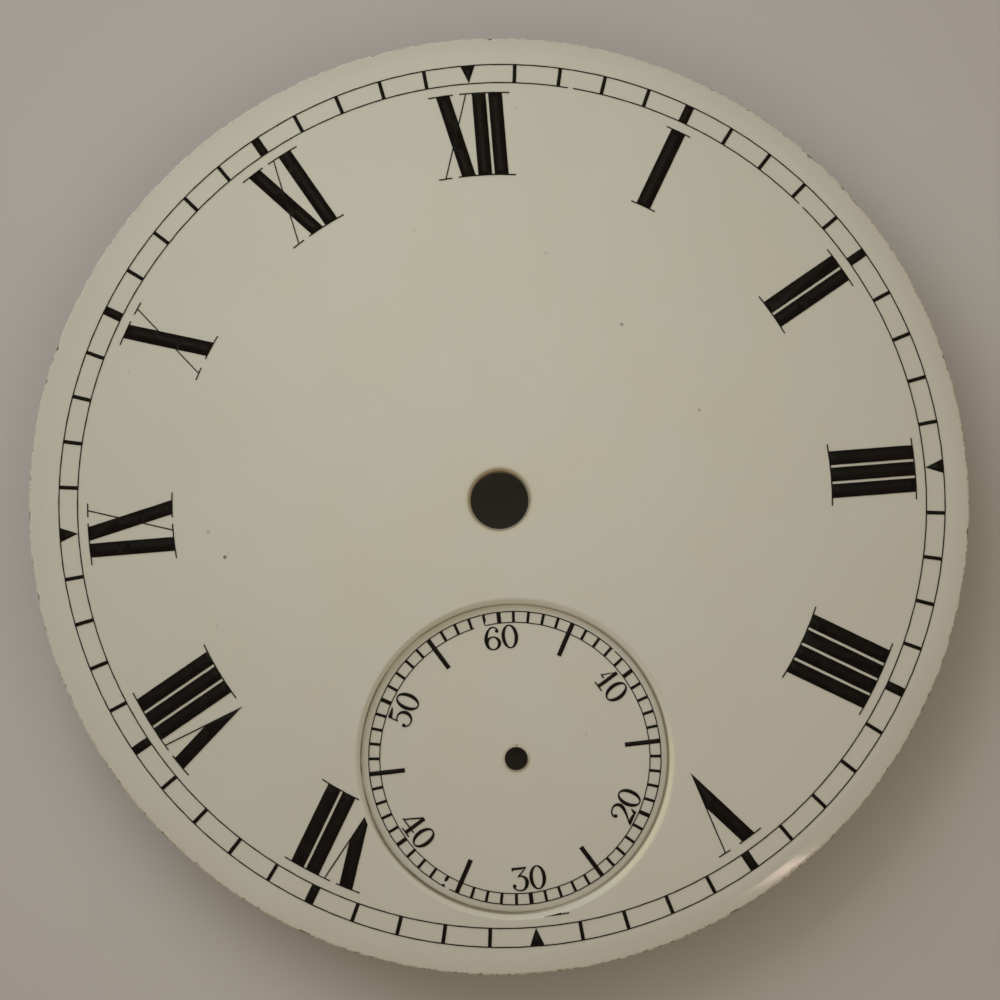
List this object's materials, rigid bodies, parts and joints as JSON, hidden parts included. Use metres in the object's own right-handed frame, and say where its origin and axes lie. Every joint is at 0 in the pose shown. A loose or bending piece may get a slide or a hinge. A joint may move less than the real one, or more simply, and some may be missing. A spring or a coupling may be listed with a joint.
{
  "type": "watch dial",
  "caption": "Round white enamel watch dial on copper, with black Roman numerals, a railway minute track, a centre bore, a sunk seconds dial at six o'clock and feet on the back.",
  "frame": {"origin": "on the axis of the centre bore, in the plane of the back that seats on the movement", "axes": "+Z out of the front face, along the centre bore; +Y to twelve o'clock; +X to three o'clock; the feet reach below the origin, into the movement"},
  "size_m": [0.0434, 0.0434, 0.0036],
  "materials": {
    "white_enamel": "glossy fired white enamel, slightly cream",
    "counter_enamel": "fired enamel, greyer and rougher than the front",
    "copper": "copper darkened by firing",
    "solder": "dull grey soft solder",
    "braze": "dull brazing with a trace of scale",
    "black_paint": "fired black enamel paint, less glossy than the ground"
  },
  "bodies": {
    "root": {"dial_enamel": "white_enamel", "seconds_enamel": "white_enamel", "dial_counter_enamel": "counter_enamel", "seconds_counter_enamel": "counter_enamel", "dial_foot_a": "copper", "dial_foot_b": "copper", "dial_foot_c": "copper", "dial_plate": "copper", "seconds_plate": "copper", "seconds_solder": "solder", "foot_solder_a": "braze", "foot_solder_b": "braze", "foot_solder_c": "braze", "five_minute_bars": "black_paint", "minute_inner_ring": "black_paint", "minute_outer_ring": "black_paint", "minute_ticks": "black_paint", "numeral_01": "black_paint", "numeral_02": "black_paint", "numeral_03": "black_paint", "numeral_04": "black_paint", "numeral_05": "black_paint", "numeral_06": "black_paint", "numeral_07": "black_paint", "numeral_08": "black_paint", "numeral_09": "black_paint", "numeral_10": "black_paint", "numeral_11": "black_paint", "numeral_12": "black_paint", "quarter_triangles": "black_paint", "seconds_inner_ring": "black_paint", "seconds_long_bars": "black_paint", "seconds_numeral_10": "black_paint", "seconds_numeral_20": "black_paint", "seconds_numeral_30": "black_paint", "seconds_numeral_40": "black_paint", "seconds_numeral_50": "black_paint", "seconds_numeral_60": "black_paint", "seconds_outer_ring": "black_paint", "seconds_ticks": "black_paint"}
  },
  "joints": []
}
